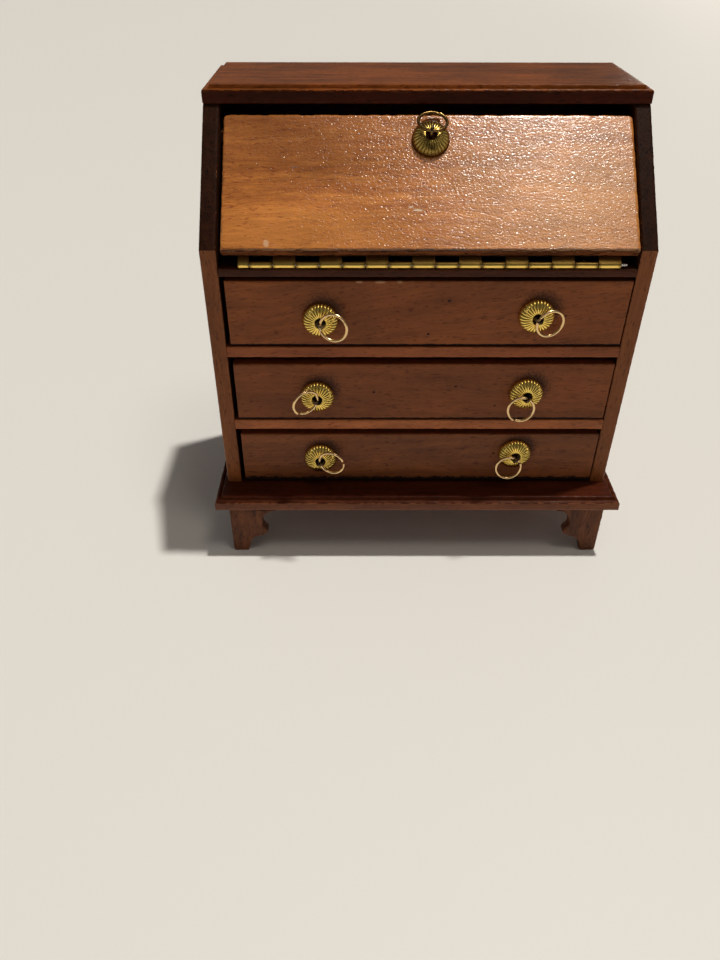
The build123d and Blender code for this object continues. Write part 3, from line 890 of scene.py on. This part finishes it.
def beadCap(name):
    hinge, out, along, sideways, reached = pullFrame(name)
    centre = hinge - out * reached
    turns = capLook["flutes"] * capLook["perFlute"]
    flute, rimTarnishShade = capLook["lidDirtAndShade"] if name == "lid" else capLook["dirtAndShade"]
    bm = bmesh.new()
    hollow = bm.verts.layers.float.new("hollow")
    outer, under = [], []
    for radius, rise, share, dirtAndShade in capProfile():
        ringOuter, ringUnder = [], []
        for turn in range(turns):
            angle = 2 * math.pi * turn / turns
            ridge = abs(math.cos(capLook["flutes"] * angle / 2)) ** 0.7
            wobble = noise.noise(Vector((math.cos(angle), math.sin(angle), centre.x)) * 1.7) * 0.05
            wide = radius - capLook["rimWave"] * (1 - ridge) * (radius / capLook["radius"]) ** 3
            height = max(rise + capLook["depth"] * share * (ridge - 1) + wobble * share, 0.02)
            spoke = along * math.cos(angle) + sideways * math.sin(angle)
            vertex = bm.verts.new(centre + spoke * wide + out * height)
            # painted shade at the rim, partly tarnish: darker towards the edge of the dome, in place of its dark
            # shaded sidewall
            rimShade = rimTarnishShade * (radius / capLook["radius"]) ** 5
            vertex[hollow] = max(dirtAndShade, share * flute * (1 - ridge), rimShade)
            ringOuter.append(vertex)
            inner = wide + (capLook["wall"] if dirtAndShade == 1.0 else 0.0)
            inner = min(inner, capLook["radius"] - capLook["wall"])
            vertex = bm.verts.new(centre + spoke * inner + out * max(height - capLook["wall"], 0.0))
            vertex[hollow] = 1.0
            ringUnder.append(vertex)
        outer.append(ringOuter)
        under.append(ringUnder)
    for shell in (outer, under):
        for lower, upper in zip(shell, shell[1:]):
            for turn in range(turns):
                after = (turn + 1) % turns
                bm.faces.new((lower[turn], lower[after], upper[after], upper[turn]))
    for a, b in ((outer[0], under[0]), (outer[-1], under[-1])):
        for turn in range(turns):
            after = (turn + 1) % turns
            bm.faces.new((a[turn], a[after], b[after], b[turn]))
    metal = shadedOldCapBrass if name == "lid" else capBrass
    return finishPiece(f"rosette_{name}_made", bm, [metal], [f"rosette_{name}"], None, 60)


def splitEye(name, wood):
    # one wire: up through the wood, round the eye and back, its legs bent over behind
    hinge, out, along, sideways, reached = pullFrame(name)
    neck, radius, wireRadius = -eyeLook["radius"], eyeLook["radius"], eyeLook["wire"]
    back = -reached - wood - wireRadius
    path = []
    for side in (-1, 1):
        leg = []
        for part in range(5):
            reachOut = eyeLook["legs"] - part * eyeLook["legStep"]
            leg.append(hinge + along * side * reachOut + out * (back + eyeLook["legRise"] * part))
        knee = back + eyeLook["kneeRise"]
        leg.append(hinge + along * side * eyeLook["knee"] + out * knee)
        for part in range(1, 9):
            twist = math.pi * max(0.0, part - 5) / 8
            offset = along * math.cos(twist) + sideways * math.sin(twist) * side
            leg.append(hinge + offset * side * eyeLook["stem"] + out * (knee + (neck - knee) * part / 9))
        path.append(leg)
    loop = []
    for part in range(1, 24):
        angle = math.radians(-90 + eyeLook["mouth"] + (360 - 2 * eyeLook["mouth"]) * part / 24)
        lean = eyeLook["lean"] * math.cos(angle * 0.5 + 0.6)
        loop.append(hinge + (out * math.sin(angle) - along * math.cos(angle)) * radius + sideways * lean)
    points = path[0] + loop + list(reversed(path[1]))
    return wire(points, wireRadius, 10, False, eyeLook["flat"], sideways)


def openRing(name, gapAngle, gapWidth, spread):
    hinge, out, along, sideways, _ = pullFrame(name)
    swingLimit = jointOf[f"ring_{name}_swing"]["range_deg"][1]
    swing = math.radians(swingEnd["lid" if name == "lid" else "drawer"] - swingLimit)
    fall = along * math.cos(swing) + out * math.sin(swing)
    centre = hinge + fall * ringLook["radius"]
    points = []
    for step in range(ringLook["steps"] + 1):
        part = step / ringLook["steps"]
        angle = math.radians(gapAngle + gapWidth / 2 + (360 - gapWidth) * part)
        end = max(0.0, abs(part - 0.5) * 2 - 1 + ringLook["sprung"]) / ringLook["sprung"]
        pull = end * end * (1 if part > 0.5 else -1)
        spoke = fall * math.cos(angle) + sideways * math.sin(angle)
        uneven = ringLook["unevenness"] * noise.noise(Vector((math.cos(angle), math.sin(angle), centre.x)))
        lift = fall.cross(sideways) * (spread[1] * pull + uneven)
        points.append(centre + spoke * (ringLook["radius"] + spread[0] * pull) + lift)

    def girth(part):
        end = min(part, 1 - part) * ringLook["steps"]
        return ringLook["wire"] * (0.72 if end < 0.5 else 0.95 if end < 1.5 else 1.0)

    bm = wire(points, girth, 12)
    metal = oldRingBrass if name == "lid" else ringBrass
    return finishPiece(f"ring_{name}_made", bm, [metal], [f"ring_{name}"], None, 60)


ringGaps = {  # where each ring is open, how far round, and how far its ends are sprung outwards and sideways
    "upper_left": (200, -9, (-0.3, 0.3)), "upper_right": (170, 3, (0.05, 0.1)),
    "middle_left": (70, 10, (0.1, 0.1)), "middle_right": (0, 8, (0.05, 0.1)),
    "lower_left": (0, 7, (0.1, 0.15)), "lower_right": (150, 3, (0.05, 0.1)), "lid": (-28, -6, (-0.25, 0.3)),
}
for name, (gapAngle, gapWidth, spread) in ringGaps.items():
    beadCap(name)
    openRing(name, gapAngle, gapWidth, spread)
for name in drawerLooks:
    low, high = boxOf(f"drawer_{name}_front")
    eyes = joinMeshes([splitEye(f"{name}_{side}", high.y - low.y) for side in ("left", "right")])
    finishPiece(f"eyes_{name}_made", eyes, [eyeBrass], [f"eyes_{name}"], None, 60)
finishPiece("eye_lid_made", splitEye("lid", lidFace[1] - lidFace[0]), [eyeBrass], ["eye_lid"], None, 60)
print("stage: pulls")

# piano hinge
hingeLook = {
    "radius": 0.62, "leaf": 0.25, "pitch": 4.09, "gap": 0.12, "count": 17, "curl": 300,
    "foot": 1.4, "plate": 4.6, "overlap": 0.2, "tangent": 0.3, "rounded": 0.05,
    "seamDirt": 0.9, "topTarnishShade": 0.85,
}
hingeAxis = Vector(jointOf["lid_hinge"]["pos_m"]) / mm
hingeEnds = reach("hinge_leaf_lid", across)


def knuckleSpan(index):
    high = hingeEnds[1] - (hingeLook["count"] - 1 - index) * hingeLook["pitch"]
    low = high - hingeLook["pitch"] * (0.5 if index == 0 else 1.0)
    return low + hingeLook["gap"] / 2, high - hingeLook["gap"] / 2


def curledLeaf(node, along, outward, chosen):
    # a plate whose strip curls round the pin at each of its knuckles
    parts = []
    radius, leaf = hingeLook["radius"], hingeLook["leaf"]
    inner = radius - leaf
    seamDirt = hingeLook["seamDirt"]

    def flat(far):  # both faces of the leaf, that far from the hinge's axis
        return outward * radius + along * far, outward * inner + along * far

    def strip(ends, section, steps):
        bm = bmesh.new()
        hollow = bm.verts.layers.float.new("hollow")
        rings = []
        for step in range(steps + 1):
            x = ends[0] + (ends[1] - ends[0]) * step / steps
            edge = hingeLook["rounded"] if step in (0, steps) else 0.0
            line = [top - (top - under) * edge * 1.2 for top, under in section]
            line += [under + (top - under) * edge for top, under in reversed(section)]
            verts = [bm.verts.new(hingeAxis + across * (x - hingeAxis.x) + point) for point in line]
            for vertex in verts:
                # darker towards the top of the barrel and the stems: tarnish, and painted shade where the lid
                # overhangs them
                rise = max(0.0, (vertex.co.z - hingeAxis.z) / radius + 0.1)
                vertex[hollow] = min(seamDirt, seamDirt if edge else rise * hingeLook["topTarnishShade"])
            rings.append(verts)
        for lower, upper in zip(rings, rings[1:]):
            for index in range(len(lower)):
                after = (index + 1) % len(lower)
                bm.faces.new((lower[index], lower[after], upper[after], upper[index]))
        bm.faces.new(list(reversed(rings[0])))
        bm.faces.new(rings[-1])
        return bm

    for index in range(hingeLook["count"]):
        if index % 2 != chosen:
            continue
        section = [flat(hingeLook["foot"] + hingeLook["overlap"]), flat(hingeLook["tangent"])]
        for step in range(31):
            angle = math.radians(hingeLook["curl"] * step / 30)
            spoke = outward * math.cos(angle) - along * math.sin(angle)
            section.append((spoke * radius, spoke * inner))
        parts.append(strip(knuckleSpan(index), section, 6))
    parts.append(strip(hingeEnds, [flat(hingeLook["plate"]), flat(hingeLook["foot"])], 40))
    return finishPiece(f"{node}_made", joinMeshes(parts), [hingeBrass], [node], None, 40)


curledLeaf("hinge_leaf_lid", lidUp, lidOut, 0)
curledLeaf("hinge_leaf_case", inward, -upright, 1)


def hingePin():
    low, high = boxOf("hinge_pin")
    radius = (high.z - low.z) / 2
    steps = 60
    places = [low.x + (high.x - low.x) * step / steps for step in range(steps + 1)]
    points = [Vector((x, hingeAxis.y, hingeAxis.z)) for x in places]

    def girth(part):
        end = min(part, 1 - part) * steps
        return radius * (0.75 if end < 0.5 else 1.0)

    return finishPiece("hinge_pin_made", wire(points, girth, 14), [pinSteel], ["hinge_pin"], None, 50)


hingePin()

bradLook = {  # heights above the plate with their radii, from the crown of the head down the shank
    "crown": [(0.2, 0.12), (0.17, 0.3), (0.1, 0.42), (0.0, 0.45)],
    "shank": [(0.0, 0.2), (-0.6, 0.2), (-1.3, 0.05)],
    "inset": 1.3, "spacing": 2.0, "sides": 14,
}


def bradRow(node, along, outward):
    # one brad for each cluster of the node's places along the hinge
    clusters = []
    for place in sorted({round(vertex.co.x / mm, 1) for vertex in frame["nodes"][node].data.vertices}):
        if not clusters or place - clusters[-1][-1] > bradLook["spacing"]:
            clusters.append([])
        clusters[-1].append(place)
    profile = bradLook["crown"] + bradLook["shank"]
    seat = outward * (hingeLook["radius"] - hingeLook["leaf"])
    seat += along * (bradLook["inset"] + hingeLook["plate"]) / 2
    brads = []
    for cluster in clusters:
        head = Vector(((cluster[0] + cluster[-1]) / 2, hingeAxis.y, hingeAxis.z)) + seat
        points = [head - outward * height for height, _ in profile]
        last = len(profile) - 1
        brads.append(wire(points, lambda part: profile[round(part * last)][1], bradLook["sides"]))
    return finishPiece(f"{node}_made", joinMeshes(brads), [hingeBrass], [node], None, 40)


bradRow("hinge_brads_case", inward, -upright)
bradRow("hinge_brads_lid", lidUp, lidOut)
print("stage: hinge")

# floor, lights and camera
floorData = bpy.data.meshes.new("tableTop")
half = 3.0  # metres
floorCorners = [(-half, -half, 0), (half, -half, 0), (half, half, 0), (-half, half, 0)]
floorData.from_pydata(floorCorners, [], [(0, 1, 2, 3)])
tableTop = addObject("tableTop", floorData)
tableWhite, tree, shader = startMaterial("tableWhite")
feed(tree, shader, {"Base Color": (0.80, 0.78, 0.74, 1), "Roughness": 0.6})
floorData.materials.append(tableWhite)

lamps = {
    "key": {
        "kind": "SUN", "toward": (0.223, 0.100, 0.970), "size": 2.6, "power": 2.32,
        "colour": (1.0, 0.965, 0.90),
    },
    "frontSoft": {
        "kind": "SUN", "toward": (0.28, -0.21, 0.937), "size": 16, "power": 0.30,
        "colour": (1.0, 0.92, 0.80),
    },
    "backRight": {
        "kind": "AREA", "toward": (0.42, 0.89, 0.17), "size": 0.3, "power": 0.4,
        "colour": (1.0, 0.9, 0.78),
    },
}
lampDistance = 1.4
for name, lamp in lamps.items():
    light = bpy.data.lights.new(name, lamp["kind"])
    if lamp["kind"] == "SUN":
        light.angle = math.radians(lamp["size"])
    else:
        light.shape = "DISK"
        light.size = lamp["size"]
    light.energy = lamp["power"]
    light.color = lamp["colour"]
    holder = addObject(name, light)
    toward = Vector(lamp["toward"]).normalized()
    holder.location = toward * lampDistance + Vector((0, 0, 0.04))
    holder.rotation_euler = (-toward).to_track_quat("-Z", "Y").to_euler()

room = {"Color": (1.0, 0.96, 0.92, 1), "Strength": 0.14}
world = bpy.data.worlds.new("softRoom")
world.use_nodes = True
feed(world.node_tree, world.node_tree.nodes["Background"], room)
bpy.context.scene.world = world
bpy.context.scene.view_settings.view_transform = "Standard"

# place and lens in millimetres, angles in degrees
view = {"place": (-12.27, -148.52, 114.40), "pitch": 37.389, "yaw": 0.167, "roll": 0.104, "lens": 28.90}
yaw, pitch, roll = (math.radians(view[key]) for key in ("yaw", "pitch", "roll"))
ahead = Vector((math.sin(yaw) * math.cos(pitch), math.cos(yaw) * math.cos(pitch), -math.sin(pitch)))
right = Vector((math.cos(yaw), -math.sin(yaw), 0))
above = right.cross(ahead)
turned = Matrix((right, above, -ahead)).transposed() @ Matrix.Rotation(roll, 3, "Z")
lens = bpy.data.cameras.new("camera")
lens.lens = view["lens"]
lens.clip_start = 0.005
camera = addObject("camera", lens)
camera.matrix_world = Matrix.Translation(Vector(view["place"]) * mm) @ turned.to_4x4()
bpy.context.scene.camera = camera
print("stage: camera and lights")
